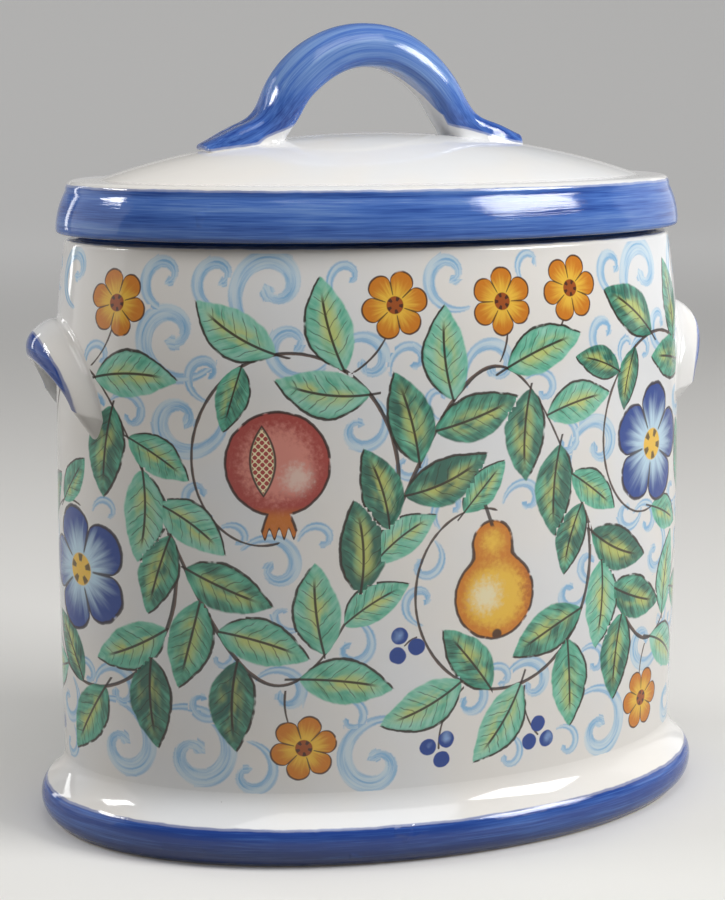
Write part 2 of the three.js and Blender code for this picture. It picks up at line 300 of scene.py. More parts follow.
def even_angles(count):
    """Angles that part the wall's oval evenly from the middle of the front, and its girth."""
    fine = np.linspace(-np.pi / 2, 1.5 * np.pi, FINE_STEPS + 1)
    reaches = (HALF_LENGTH, half_width(HALF_LENGTH))
    arc = arc_lengths(np.column_stack([reaches[0] * np.cos(fine), reaches[1] * np.sin(fine)]))
    return np.interp(np.linspace(0, arc[-1], count, endpoint=False), arc, fine), arc[-1]


WALL_ANGLES, GIRTH = even_angles(WALL_COLUMNS)
OVAL_ANGLES, _ = even_angles(OVAL_COLUMNS)


# Meshes. A ring is a table with a row per point: place, depth of blue, place along the brush.
def oval_ring(reach, height, blue, angles, phase):
    if reach == 0:
        return np.array([[0, 0, height, blue, 0, 0, height]])
    reach = reach + unevenness(angles, height, phase) * reach / HALF_LENGTH
    x = reach * np.cos(angles)
    y = half_width(reach) * np.sin(angles)
    z = np.full_like(x, height)
    return np.column_stack([x, y, z, np.full_like(x, blue), STREAK * x, STREAK * y, z])


def plain(reach, height):
    return NO_BLUE


def oval_rings(profile, phase, blue_depth=plain, angles=OVAL_ANGLES):
    return [oval_ring(r, z, blue_depth(r, z), angles, phase) for r, z in profile]


def ring_faces(sizes, loop):
    """Faces between neighbouring rings; a ring of one point closes an end with a fan."""
    starts = np.concatenate([[0], np.cumsum(sizes)])
    pairs = list(zip(range(len(sizes) - 1), range(1, len(sizes))))
    if loop:
        pairs.append((len(sizes) - 1, 0))
    faces = []
    for low, high in pairs:
        around = max(sizes[low], sizes[high])
        for i in range(around):
            corners = ((low, i), (low, i + 1), (high, i + 1), (high, i))
            places = [int(starts[ring]) + k % around % sizes[ring] for ring, k in corners]
            faces.append(list(dict.fromkeys(places)))
    return faces


def add_guide(mesh, name, values, domain):
    """Paint guide of one number or of three at each point or face corner."""
    kind, key = ("FLOAT", "value") if values.ndim == 1 else ("FLOAT_VECTOR", "vector")
    layer = mesh.attributes.new(name, kind, domain)
    layer.data.foreach_set(key, values.ravel().astype(np.float32))


def skin(name, rings, loop):
    """Closed smooth skin through the rings, with the paint guides of its bands."""
    table = np.vstack(rings)
    mesh = bpy.data.meshes.new(name)
    mesh.from_pydata((table[:, :3] * MM).tolist(), [], ring_faces([len(r) for r in rings], loop))
    add_guide(mesh, "blue", table[:, 3], "POINT")
    add_guide(mesh, "brush", table[:, 4:], "POINT")
    mesh.shade_smooth()
    shell = bmesh.new()
    shell.from_mesh(mesh)
    if shell.calc_volume(signed=True) < 0:
        mesh.flip_normals()
    shell.free()
    return mesh


def link(name, data):
    """New object in the scene."""
    thing = bpy.data.objects.new(name, data)
    bpy.context.collection.objects.link(thing)
    return thing


def add_piece(node, rings, material, body, loop=False):
    """Finished piece that stands for a node."""
    piece = link(node + "_glazed", skin(node + "_glazed", rings, loop))
    piece.data.materials.append(material)
    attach(piece, body)
    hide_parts(node)
    return piece


# Jar.
def wall_rows():
    """Profile of the wall as a closed loop, and the run of rows that is its outer face."""
    face_top = BODY_HEIGHT - RIM_DROP
    heights = np.linspace(SEAT, face_top, round((face_top - SEAT) / PAINT_STEP) + 1)
    outside = [(wall_reach(z), z) for z in heights]
    inner_heights = (face_top, *heights[-2::-INSIDE_STRIDE], SEAT)
    inside = [(wall_reach(z) - WALL_THICKNESS, z) for z in inner_heights]
    mouth = RIM_REACH - WALL_THICKNESS
    step = BODY_HEIGHT - RIM_STEP
    ridge = RIM_REACH - RIM_SHELF
    shelf = (mixed(RIM_REACH, ridge, RIM_SHELF_FLAT), step)
    shoulder = bezier([outside[-1], (RIM_REACH, step), shelf], steps=8)
    rise = bezier([shelf, (ridge, step), (ridge, BODY_HEIGHT)], steps=8)
    inner_edge = (mouth + RIM_INNER_ROUND, BODY_HEIGHT)
    inner_round = bezier([inner_edge, (mouth, BODY_HEIGHT), inside[0]], steps=6)
    return outside + shoulder[1:] + rise[1:] + inner_round + inside[1:], len(outside)


def wall_blue(reach, height):
    """The rim is edged with blue under the lid, and the edge just shows; the blue deep in the gap is
    also painted shade that darkens the gap.
    """
    if reach < RIM_REACH - RIM_SHELF - TOUCH:
        return NO_BLUE
    return height - BODY_HEIGHT + RIM_BLUE_AND_GAP_SHADE


def foot_rows():
    base = HALF_LENGTH + FOOT_BASE_SPREAD
    band = HALF_LENGTH + FOOT_BAND_SPREAD
    inner = HALF_LENGTH - FOOT_LEDGE_REACH
    bed = HALF_LENGTH - FOOT_BED
    feather = FOOT_HEIGHT + FOOT_FEATHER
    lip = (base + FOOT_BASE_LEAN, FOOT_BASE_ROUND)
    edge = bezier([(base - FOOT_BASE_ROUND, 0), (base, 0), lip], steps=4)
    bulge = bezier([
        lip,
        (HALF_LENGTH + FOOT_BULGE[0], FOOT_BAND_HEIGHT / 4),
        (HALF_LENGTH + FOOT_BULGE[1], FOOT_BAND_HEIGHT * 3 / 4),
        (band, FOOT_BAND_HEIGHT),
    ], steps=16)
    flare = bezier([
        (band, FOOT_BAND_HEIGHT),
        (HALF_LENGTH + FOOT_BAND_SPREAD / 2, FOOT_HEIGHT - FOOT_BAND_SPREAD),
        (HALF_LENGTH + FOOT_FEATHER_GAPS[0], FOOT_HEIGHT - FOOT_BAND_SPREAD / 2),
        (HALF_LENGTH + FOOT_FEATHER_GAPS[1], feather),
    ], steps=20)
    return [
        (inner, 0), *edge, *bulge[1:], *flare[1:],
        (bed, feather), (bed, FOOT_LEDGE_HEIGHT), (inner, FOOT_LEDGE_HEIGHT),
    ]


def foot_blue(reach, height):
    if reach < HALF_LENGTH - FOOT_BED:
        return NO_BLUE
    return min(FOOT_BAND_HEIGHT - height, height - FOOT_BASE_ROUND / 3)


def floor_rows():
    """Slab with a soft cove where the floor meets the wall."""
    edge = floor_high.x
    top = floor_high.z
    halfway, middle = (top - dish for dish in FLOOR_DISH)
    cove = bezier([(edge, top + FLOOR_COVE), (edge, top), (edge - FLOOR_COVE, top)], steps=8)
    return [(0, SEAT), (edge / 2, SEAT), (edge, SEAT), *cove, (edge / 2, halfway), (0, middle)]


def ear_outline(angle):
    """Section at an angle along the arch, root to root: how far out, share from lip to root, height."""
    lift = math.cos(angle)
    lip = mixed(EAR_LIP_END, EAR_LIP_HEIGHT, lift)
    top = mixed(EAR_ROOT_END, EAR_TOP, lift)
    reach = EAR_REACH * mixed(EAR_END_SHARE, 1, lift)
    crest = lip + (top - lip) * EAR_LIP_THICKNESS / (EAR_TOP - EAR_LIP_HEIGHT)
    recess = lip + EAR_RECESS * lift
    return smooth_line(np.array([
        (EAR_ROOT, 0, recess),
        (reach * 0.05, 0, recess),
        (reach * 0.42, 0, recess - 0.3),
        (reach * 0.72, 0, lip),
        (reach * 0.94, 0.1, mixed(lip, crest, 0.12)),
        (reach, 0.3, mixed(lip, crest, 0.5)),
        (reach * 0.92, 0.55, mixed(lip, crest, 0.87)),
        (reach * 0.68, 0.75, mixed(crest, top, 0.35)),
        (reach * 0.3, 0.92, mixed(crest, top, 0.82)),
        (reach * 0.08, 0.98, top - EAR_FILLET / 2),
        (-0.3, 1.02, top + EAR_FILLET / 2),
        (EAR_ROOT, 1.03, top + EAR_FILLET),
    ]), EAR_SIDES)


def ear_ring(angle, side, cut):
    """Ring of an ear; cut is 0 along the limb and 1 where its slanted end has gone into the wall."""
    out, share, height = ear_outline(angle).T
    run = arc_lengths(np.column_stack([out, height]))
    stripe_low, end_top, middle_top = EAR_STRIPE
    stripe_top = mixed(end_top, middle_top, math.cos(angle))
    edges = np.interp((stripe_low, stripe_top), share, run)
    blue = np.minimum(run - edges[0], edges[1] - run) if cut == 0 else np.full_like(run, NO_BLUE)
    brush = np.column_stack([np.full_like(run, STREAK * angle * EAR_LIP_HALF_SPAN), run, run * 0])
    slant = (out - EAR_ROOT) / (out.max() - EAR_ROOT)
    height = height - cut * EAR_CUTS[side > 0] * slant
    across = mixed(EAR_LIP_HALF_SPAN, EAR_ROOT_HALF_SPAN, share) * math.sin(angle)
    x = side * (wall_end(across, height) + mixed(out, EAR_ROOT, cut))
    return np.column_stack([x, across, height, blue, brush])


def ear_rings(side):
    limb = np.linspace(EAR_EDGE - EAR_SWEEP, EAR_SWEEP - EAR_EDGE, EAR_STEPS)
    stations = [(-EAR_SWEEP, cut) for cut in EAR_CUT_STEPS[::-1]]
    stations += [(angle, 0) for angle in (-EAR_SWEEP, *limb, EAR_SWEEP)]
    stations += [(EAR_SWEEP, cut) for cut in EAR_CUT_STEPS]
    rings = [ear_ring(angle, side, cut) for angle, cut in stations]
    return [rings[0].mean(0, keepdims=True), *rings, rings[-1].mean(0, keepdims=True)]


# Lid.
def dome_rows(raise_by, steps):
    shares = np.cos(np.linspace(0, np.pi / 2, steps + 1))
    rows = [(DOME_REACH * share, dome_height(share) + raise_by) for share in shares[:-1]]
    return [*rows, (0, DOME_TOP + raise_by)]


def lid_rows():
    hollow = FLANGE_REACH + FLANGE_GAP
    ceiling = LEDGE_LEVEL - LID_THICKNESS
    edge = LID_EDGE_REACH
    turn = LID_BOTTOM + LID_EDGE_ROUND
    foot = bezier([(edge - LID_EDGE_ROUND, LID_BOTTOM), (edge, LID_BOTTOM), (edge, turn)], steps=5)
    side_top = (LID_CORNER_REACH, LEDGE_LEVEL - LID_CORNER_ROUND)
    side_middle = ((edge + LID_CORNER_REACH) / 2 + 2 * LID_EDGE_BULGE, (turn + side_top[1]) / 2)
    side = bezier([foot[-1], side_middle, side_top], steps=14)
    corner_end = (LID_CORNER_REACH - LID_CORNER_ROUND, LEDGE_LEVEL)
    corner = bezier([side_top, (LID_CORNER_REACH, LEDGE_LEVEL), corner_end], steps=8)
    dome = dome_rows(0, steps=48)
    ledge = mixed(np.array(corner_end), np.array(dome[0]), 0.5)
    crease = bezier([corner_end, ledge, dome[0], dome[1]], steps=10)
    return [
        *dome_rows(-LID_THICKNESS, steps=16)[::-1], (hollow, ceiling), (hollow, LID_BOTTOM),
        *foot, *side[1:], *corner[1:], *crease[1:], *dome[2:],
    ]


def lid_blue(reach, height):
    if reach < LID_CORNER_REACH - LID_CORNER_ROUND or height < LID_BOTTOM + TOUCH:
        return NO_BLUE
    return LID_BAND_TOP - height


def flange_rows():
    inner = FLANGE_REACH - FLANGE_THICKNESS
    middle = FLANGE_REACH - FLANGE_THICKNESS / 2
    bottom = flange_low.z
    top = flange_high.z
    turn = bottom + FLANGE_THICKNESS / 2
    root, drop = FLANGE_FILLET
    return [
        *bezier([(inner, turn), (inner, bottom), (middle, bottom)], steps=6),
        *bezier([(middle, bottom), (FLANGE_REACH, bottom), (FLANGE_REACH, turn)], steps=6)[1:],
        (FLANGE_REACH, mixed(turn, top, 0.5)), (FLANGE_REACH, top),
        *bezier([(inner - root, top), (inner, top), (inner, top - drop)], steps=6),
        (inner, mixed(turn, top, 0.4)),
    ]


def half_line(span):
    """Middle line of half the strap, from the crown to the end of its tail."""
    share = np.linspace(0, 1, LINE_STEPS)
    arch = np.column_stack([ARCH_HALF_SPAN * share, STRAP_CROWN - ARCH_DROP * share ** ARCH_POWER])
    leg = arch[-1]
    level = dome_height((span + abs(HANDLE_OFFSET)) / DOME_REACH) + TAIL_RISE
    slope = ARCH_POWER * ARCH_DROP / ARCH_HALF_SPAN
    run = (span - ARCH_HALF_SPAN) * TAIL_PULL
    tail = np.array(bezier([
        leg,
        (leg[0] + run, leg[1] - run * slope),
        (leg[0] + 2 * run, mixed(level, leg[1], TAIL_DIP)),
        (span, level),
    ], steps=LINE_STEPS))
    return np.vstack([arch, tail[1:]])


def strap_line():
    """Middle line of the strap from the left tail's end to the right one's, and the run along it."""
    left, right = (half_line(span) for span in TAIL_SPANS)
    line = np.vstack([left[:0:-1] * (-1, 1), right])
    run = np.linspace(0, arc_lengths(line)[-1], STRAP_STEPS)
    return along_path(line, run), run


def strap_ring(centre, along, run):
    """Rounded section square to the middle line, bedded on the dome with a fillet of slip."""
    side = int(centre[0] > 0)
    distance = abs(centre[0])
    past_arch = distance - ARCH_HALF_SPAN
    arch = min(1, distance / ARCH_HALF_SPAN)
    tail = np.clip(past_arch / (TAIL_SPANS[side] - ARCH_HALF_SPAN), 0, 1)
    thickness = mixed(mixed(STRAP_THICKNESS, LEG_THICKNESS, arch ** 2), TAIL_ENDS[side], tail)
    width = mixed(STRAP_WIDTH, TAIL_WIDTH, tail ** 2)
    angle = np.linspace(0, 2 * np.pi, STRAP_SIDES, endpoint=False)
    rise, turn = np.cos(angle), np.sin(angle)
    below = rise < 0
    top_roundness = mixed(STRAP_ROUNDNESS, TAIL_ROUNDNESS, tail)
    up = np.sign(rise) * np.abs(rise) ** np.where(below, UNDERSIDE_ROUNDNESS, top_roundness)
    out = np.sign(turn) * np.abs(turn) ** np.where(below, UNDERSIDE_ROUNDNESS, STRAP_ROUNDNESS)
    top = np.maximum(0, up)
    heel_share = np.clip(past_arch / HEEL_RUN + 0.5, 0, 1)
    heel = HEEL_DEPTH * heel_share ** 2 * (3 - 2 * heel_share)
    fold = math.exp(-((past_arch - FOLD_PLACE) / FOLD_RUN) ** 2)
    dent = fold * top * mixed(FOLD_DEPTH, THUMB_DEPTH, np.exp(-(out / THUMB_WIDTH) ** 2))
    rim = TAIL_RIM * math.sin(math.pi * tail) * top * out ** 2
    swell = SWELL[side] * math.exp(-((distance - SWELL_PLACE) / SWELL_RUN) ** 2)
    crown = mixed(CROWN_SHARE, 0.5, tail)
    half = thickness * np.where(below, 1 - crown, crown) + heel * below
    lift = up * half + thickness * (0.5 - crown) + swell * top - dent + rim
    across = -out * width / 2 * (1 - FOLD_WAIST * fold)
    x = HANDLE_OFFSET + centre[0] - along[1] * lift
    z = centre[1] + along[0] * lift
    above = z - dome_under(x, across)
    flare = LUTE_SPREAD * np.clip(1 - above / LUTE_HEIGHT, 0, LUTE_MOST) ** 2
    across = across + np.sign(across) * flare * np.abs(out)
    x = x - np.sign(centre[0]) * flare * below * along[0]
    margin = BARE_EDGES[side] + BARE_HEELS[side] * np.clip(1 - past_arch / BARE_RUNS[side], 0, 1)
    wrapped = np.maximum(out - mixed(*BARE_FRONT, arch ** BARE_FRONT_POWER), -out - BARE_BACK)
    underside = np.where(below, wrapped * width / 2, width)
    blue = np.minimum(above - margin, underside)
    brush = np.column_stack([np.full_like(x, STREAK * run), across, lift])
    return np.column_stack([x, across, z, blue, brush])


def tail_end(ring, way):
    """Middle and edge of a tail's blunt end, which is slightly rounded."""
    middle = ring.mean(0, keepdims=True)
    middle[:, 0] += way * TAIL_END_ROUND
    edge = mixed(ring, middle, TAIL_END_ROUND / TAIL_ENDS[0])
    edge[:, 0] = ring[:, 0] + way * TAIL_END_ROUND
    return middle, edge


def handle_rings():
    line, run = strap_line()
    rings = [strap_ring(*station) for station in zip(line, headings(line), run)]
    return [*tail_end(rings[0], -1), *rings, *tail_end(rings[-1], 1)[::-1]]


# Layout of the painted vine, in millimetres round the wall from the front's middle, and height.
PAINT_LOW = FOOT_HEIGHT + FOOT_FEATHER
PAINT_MARGIN = 4
PAINT_TOP = BODY_HEIGHT - PAINT_MARGIN
FRUITS = ("pear", "bloom", "pomegranate", "pear", "bloom", "pear", "bloom", "pomegranate")
LOBES = len(FRUITS)
HALF_PERIOD = GIRTH / LOBES
VINE_START = -HALF_PERIOD / 4
VINE_LEVEL = (PAINT_LOW + PAINT_TOP) / 2
VINE_RISE = 51
VINE_WIDTH = 0.55
VINE_POINTS = 1600
VINE_KNOTS = 0.35
TENDRIL_DROP = 18
TENDRIL_STRETCH = 1.14
TENDRIL_END = 19
TENDRIL_SWEEP = math.radians(296)
TENDRIL_CURL = 1.4
TENDRIL_POINTS = 240
TENDRIL_WIDTHS = (1.3, 0.6)
TWIG_WIDTH = 0.6
TWIG_BEND = 0.25
FRUIT_SIZE = 47
FRUIT_ROOM = 0.44
FRUIT_TILT = 0.25
LEAF_LENGTHS = (31, 28, 25, 22)
LEAF_ANGLES = tuple(math.radians(turn) for turn in (42, 56, 30, 70))
LEAF_STEP = 23
LEAF_GAP = 0.6
LEAF_BEND = 0.55
LEAF_SKEW = 0.85
LEAF_FULLNESS = 0.85
LEAF_HALF_WIDTH = 0.25
LEAF_INSIDE = (0.001, 0.999)
LEAF_DISCS = ((0.35, 0.19), (0.62, 0.21), (0.9, 0.09))
ROSETTE_SIZE = 24
ROSETTES = 11
BERRY_SIZE = 16
BERRY_PLACES = ((0, 0.24), (0.22, -0.12), (-0.22, -0.12))
SMALLEST_SCROLL = 4.2
LARGEST_SCROLL = 15
SCROLL_STEPS = 90
SCROLL_SWEEPS = (math.radians(200), math.radians(500))
SCROLL_EYE = 0.26
SCROLL_TAIL = 1.35
SCROLL_CURL = 1.6
SCROLL_WIDTH = 0.3
SCROLL_BODY = (0.75, 1.5)
SCROLL_EYE_LENGTH = 0.1
SCROLL_WIDTHS = (0.25, 0.75, 0.55)
SCROLL_GAP = 0.4
SCROLL_STARTS = np.radians(np.arange(0, 360, 30))
OUTSIDE_COST = 4
STEM_STRIDE = 3
GAP_STEP = 3
GAP_EDGE = 1
LAYOUT_SEED = 5

rng = random.Random(LAYOUT_SEED)


def around(apart):
    """The short way round the wall."""
    return (apart + GIRTH / 2) % GIRTH - GIRTH / 2


class Ground:
    """Discs of the wall that painted things already take up."""

    def __init__(self):
        self.discs = np.empty((0, 3))

    def take(self, discs):
        self.discs = np.vstack([self.discs, discs])

    def gaps(self, s, z):
        return np.hypot(around(self.discs[:, 0] - s), self.discs[:, 1] - z) - self.discs[:, 2]

    def room(self, s, z):
        return self.gaps(s, z).min()

    def nearest(self, s, z):
        return self.discs[self.gaps(s, z).argmin(), :2]


def vine_path():
    s = np.linspace(0, GIRTH, VINE_POINTS)
    z = VINE_LEVEL + VINE_RISE * np.sin(np.pi * s / HALF_PERIOD)
    return np.column_stack([VINE_START + s, z])


def lobe_middle(lobe):
    """Which way a lobe of the vine bows, and the place in it where a fruit sits."""
    turn = 1 if lobe % 2 == 0 else -1
    return turn, VINE_START + (lobe + 0.5) * HALF_PERIOD, VINE_LEVEL - turn * TENDRIL_DROP


def tendril_path(lobe):
    """Spiral that leaves the vine at the end of a lobe and curls in round its fruit."""
    turn, middle_s, middle_z = lobe_middle(lobe)
    share = np.linspace(0, 1, TENDRIL_POINTS)
    start = math.atan2(TENDRIL_DROP / TENDRIL_STRETCH, HALF_PERIOD / 2)
    wide = math.hypot(TENDRIL_DROP / TENDRIL_STRETCH, HALF_PERIOD / 2)
    angle = turn * (start - share * TENDRIL_SWEEP)
    radius = mixed(wide, TENDRIL_END, share ** TENDRIL_CURL)
    s = middle_s + radius * np.cos(angle)
    z = middle_z + TENDRIL_STRETCH * radius * np.sin(angle)
    return np.column_stack([s, z])


def leaf_discs(s, z, angle, length):
    """Places along a leaf's middle, with about its half width there."""
    return [
        (s + share * length * math.cos(angle), z + share * length * math.sin(angle), half * length)
        for share, half in LEAF_DISCS
    ]


def leaf_fits(discs, stems, motifs):
    for number, (s, z, radius) in enumerate(discs):
        if not PAINT_LOW + radius < z < PAINT_TOP - radius:
            return False
        if motifs.room(s, z) < radius + LEAF_GAP:
            return False
        if number > 0 and stems.room(s, z) < radius:
            return False
    return True


def grow_leaves(path, stems, motifs):
    """Leaves along a stem, on both sides in turn, each as large as fits."""
    leaves = []
    for number, run in enumerate(np.arange(LEAF_STEP / 2, arc_lengths(path)[-1], LEAF_STEP / 2)):
        (s, z), ahead = along_path(path, (run, run + 1))
        heading = math.atan2(ahead[1] - z, ahead[0] - s)
        side = 1 if number % 2 else -1
        for length, turn in itertools.product(LEAF_LENGTHS, LEAF_ANGLES):
            angle = heading + side * turn
            discs = leaf_discs(s, z, angle, length)
            if leaf_fits(discs, stems, motifs):
                motifs.take(discs)
                leaves.append((s, z, angle, length, rng.random()))
                break
    return leaves


def scroll_stroke(s, z, radius, stems):
    """Brushed scroll that fills a gap, with its tail towards a stem: path and half widths."""
    share = np.linspace(0, 1, SCROLL_STEPS)
    reach = radius * (SCROLL_EYE + SCROLL_TAIL * (1 - share) ** SCROLL_CURL)
    fullness = (radius - SMALLEST_SCROLL) / (LARGEST_SCROLL - SMALLEST_SCROLL)
    sweep_angle = mixed(*SCROLL_SWEEPS, math.sqrt(fullness))
    choices = []
    for way, start in itertools.product((-1, 1), SCROLL_STARTS):
        angle = start + way * share * sweep_angle
        path = np.column_stack([s + reach * np.cos(angle), z + reach * np.sin(angle)])
        outside = max(0, PAINT_LOW - path[:, 1].min(), path[:, 1].max() - PAINT_TOP)
        choices.append((stems.room(*path[0]) + OUTSIDE_COST * outside, len(choices), path))
    lean, power = SCROLL_BODY
    body = np.sin(np.pi * share ** lean) ** power
    eye = np.exp(-((share - 1) / SCROLL_EYE_LENGTH) ** 2)
    hair, swell, drop = SCROLL_WIDTHS
    return min(choices)[2], radius * SCROLL_WIDTH * (hair + swell * body + drop * eye)


def twig(s, z, stems):
    """Short bent stalk from the nearest stem to a small motif."""
    start = stems.nearest(s, z)
    end = start + np.array([around(s - start[0]), z - start[1]])
    bend = (start + end) / 2 + TWIG_BEND * (end - start)[::-1] * (1, -1)
    return np.array(bezier([start, bend, end], steps=30))


def lay_out_vine():
    """Places of all motifs and strokes; they keep clear of each other and of the ears."""
    stems, motifs = Ground(), Ground()
    vine = vine_path()
    tendrils = [tendril_path(lobe) for lobe in range(LOBES)]
    for path in (vine, *tendrils):
        spots = path[::STEM_STRIDE]
        stems.take(np.column_stack([spots, np.full(len(spots), VINE_WIDTH)]))
    marks = {kind: [] for kind in ("leaf", *FRUITS, "rosette", "berries")}
    for lobe, kind in enumerate(FRUITS):
        turn, s, z = lobe_middle(lobe)
        angle = turn * math.pi / 2 + rng.uniform(-FRUIT_TILT, FRUIT_TILT)
        marks[kind].append((s, z, angle, FRUIT_SIZE, rng.random()))
        motifs.take([(s, z, FRUIT_SIZE * FRUIT_ROOM)])
    ear_low = EAR_ROOT_END + EAR_LIP_HALF_SPAN / 2
    ear_high = EAR_TOP - EAR_LIP_HALF_SPAN / 2
    for end, height in itertools.product((GIRTH / 4, GIRTH * 3 / 4), (ear_low, ear_high)):
        motifs.take([(end, height, EAR_LIP_HALF_SPAN)])
    for path in (vine, *tendrils):
        marks["leaf"] += grow_leaves(path, stems, motifs)
    scrolls = fill_gaps(stems, motifs, marks)
    knots = 1 + VINE_KNOTS * np.cos(2 * np.pi * vine[:, 0] / HALF_PERIOD)
    twigs = [twig(s, z, stems) for kind in ("rosette", "berries") for s, z, *_ in marks[kind]]
    strokes = [(vine, VINE_WIDTH * knots)]
    strokes += [(path, VINE_WIDTH * np.linspace(*TENDRIL_WIDTHS, len(path))) for path in tendrils]
    strokes += [(path, np.full(len(path), VINE_WIDTH * TWIG_WIDTH)) for path in twigs]
    return marks, strokes, scrolls


def fill_gaps(stems, motifs, marks):
    """Fills the widest gap again and again: rosettes, then berries, then brushed scrolls."""
    across, up = np.meshgrid(np.arange(0, GIRTH, GAP_STEP), np.arange(PAINT_LOW, PAINT_TOP, GAP_STEP))
    s, z = across.ravel(), up.ravel()
    room = np.array([motifs.room(*spot) for spot in zip(s, z)])
    room = np.minimum(room, np.minimum(z - PAINT_LOW, PAINT_TOP - z) + GAP_EDGE)
    small = [("rosette", ROSETTE_SIZE)] * ROSETTES + [("berries", BERRY_SIZE)] * LOBES
    scrolls = []
    while room.max() > SMALLEST_SCROLL:
        best = int(room.argmax())
        if small:
            kind, size = small.pop(0)
            radius = size / 2
            marks[kind].append((s[best], z[best], rng.uniform(0, 2 * math.pi), size, rng.random()))
        else:
            radius = min(room[best], LARGEST_SCROLL)
            scrolls.append(scroll_stroke(s[best], z[best], radius, stems))
        room = np.minimum(room, np.hypot(around(s - s[best]), z - z[best]) - radius - SCROLL_GAP)
    return scrolls


# Paint guides on the wall: at each face corner, where it lies within the motif painted there.
FAR = 9.0
STAMP_MARGIN = 0.22
STROKE_MARGIN = 2
STROKE_CHUNK = 40


class WallGrid:
    """Corners and middles of the wall's faces, in wall coordinates."""

    def __init__(self, rows, face_rows):
        step = GIRTH / WALL_COLUMNS
        heights = np.array([z for _, z in rows])
        row, column = np.divmod(np.arange(len(rows) * WALL_COLUMNS), WALL_COLUMNS)
        self.s = (column * step)[:, None] + np.array([0, step, step, 0])
        self.z = heights[(row[:, None] + np.array([0, 0, 1, 1])) % len(rows)]
        self.outer = row < face_rows
        self.middle_s = self.s.mean(1)
        self.middle_z = self.z.mean(1)

    def empty(self):
        return np.tile(np.array([FAR, FAR, 0.0]), (len(self.s), 4, 1))


def leaf_gap(u, v, seed):
    """How far a place lies outside a leaf's outline, in leaf lengths."""
    bent = v + LEAF_BEND * (seed - 0.5) * u * (u - 1)
    half = LEAF_HALF_WIDTH * np.sin(np.pi * np.clip(u, *LEAF_INSIDE) ** LEAF_SKEW) ** LEAF_FULLNESS
    return np.abs(bent) - half + np.maximum(0, np.maximum(-u, u - 1))


def disc_gap(u, v, seed):
    return np.hypot(u, v) - 0.5


def turned(s, z, cosine, sine):
    """Coordinates along and across a direction."""
    return s * cosine + z * sine, z * cosine - s * sine


def stamp(grid, marks, gap):
    """Each face takes the place of its corners within the mark whose outline is nearest."""
    guide = grid.empty()
    nearest = np.full(len(grid.s), STAMP_MARGIN)
    for s, z, angle, size, seed in marks:
        cosine, sine = math.cos(angle) / size, math.sin(angle) / size
        ds = around(grid.middle_s - s)
        dz = grid.middle_z - z
        off = gap(*turned(ds, dz, cosine, sine), seed)
        taken = grid.outer & (off < nearest)
        nearest[taken] = off[taken]
        corner_s = ds[taken, None] + grid.s[taken] - grid.middle_s[taken, None]
        corner_z = grid.z[taken] - z
        guide[taken, :, 0], guide[taken, :, 1] = turned(corner_s, corner_z, cosine, sine)
        guide[taken, :, 2] = seed
    return guide


def sweep(grid, strokes):
    """Each face takes run, offset and half width from the stroke that covers it deepest."""
    guide = grid.empty()
    guide[:, :, 2] = -FAR
    deepest = np.full(len(grid.s), -STROKE_MARGIN)
    for path, width in strokes:
        heading = headings(path)
        run = arc_lengths(path)
        for first in range(0, len(path), STROKE_CHUNK):
            part = range(first, min(first + STROKE_CHUNK, len(path)))
            middle = path[part].mean(0)
            reach = np.ptp(path[part], axis=0) + width.max() + STROKE_MARGIN
            near_s = np.abs(around(grid.middle_s - middle[0])) < reach[0]
            near_z = np.abs(grid.middle_z - middle[1]) < reach[1]
            faces = np.flatnonzero(grid.outer & near_s & near_z)
            ds = around(grid.middle_s[faces, None] - path[part, 0])
            depth = width[part] - np.hypot(ds, grid.middle_z[faces, None] - path[part, 1])
            pick = depth.argmax(1)
            better = depth.max(1) > deepest[faces]
            faces, pick, ds = faces[better], pick[better], ds[better, pick[better]]
            deepest[faces] = depth.max(1)[better]
            sample = np.array(part)[pick]
            corner_s = ds[:, None] + grid.s[faces] - grid.middle_s[faces, None]
            corner_z = grid.z[faces] - path[sample, 1][:, None]
            along = heading[sample][:, :, None]
            ahead, offset = turned(corner_s, corner_z, along[:, 0], along[:, 1])
            end = (sample == len(path) - 1) * 1 - (sample == 0)
            half = width[sample][:, None] - np.maximum(0, ahead * end[:, None])
            guide[faces] = np.stack([run[sample][:, None] + ahead, offset, half], axis=-1)
    return guide


def paint_guides(mesh, rows, face_rows):
    grid = WallGrid(rows, face_rows)
    marks, strokes, scrolls = lay_out_vine()
    guides = {
        kind: stamp(grid, places, leaf_gap if kind == "leaf" else disc_gap)
        for kind, places in marks.items()
    }
    guides["stem"] = sweep(grid, strokes)
    guides["scroll"] = sweep(grid, scrolls)
    for name, guide in guides.items():
        add_guide(mesh, name, guide, "CORNER")


# Materials.
def tint(code):
    """Linear colour from a six-digit code."""
    parts = [int(code[i:i + 2], 16) / 255 for i in (0, 2, 4)]
    return tuple(p / 12.92 if p <= 0.04045 else ((p + 0.055) / 1.055) ** 2.4 for p in parts) + (1.0,)


WHITE_WARM = tint("efebe5")
WHITE_COOL = tint("eaebec")
SPECK = tint("6d6257")
CLAY = tint("c9a887")
COBALT_DEEP = tint("254797")
COBALT = tint("4b74c2")
COBALT_THIN = tint("8eafdd")
INK = tint("33231c")
BARK = tint("6b4a38")
SCROLL_PALE = tint("c4e0f0")
SCROLL_BLUE = tint("86bbe2")
LEAF_DARK = tint("1d6350")
LEAF_GREEN = tint("60bd9c")
LEAF_PALE = tint("b0e4d0")
LEAF_LIME = tint("d3d468")
AMBER = tint("d9821f")
YELLOW = tint("f7c645")
CREAM = tint("f8e9bd")
RUST = tint("a9541c")
CRIMSON = tint("b24a42")
ROSE = tint("e29182")
BLUSH = tint("eccabb")
PAPER = tint("e2e0dc")
PAPER_SHADE = tint("7d7a76")
SKY = tint("ffffff")
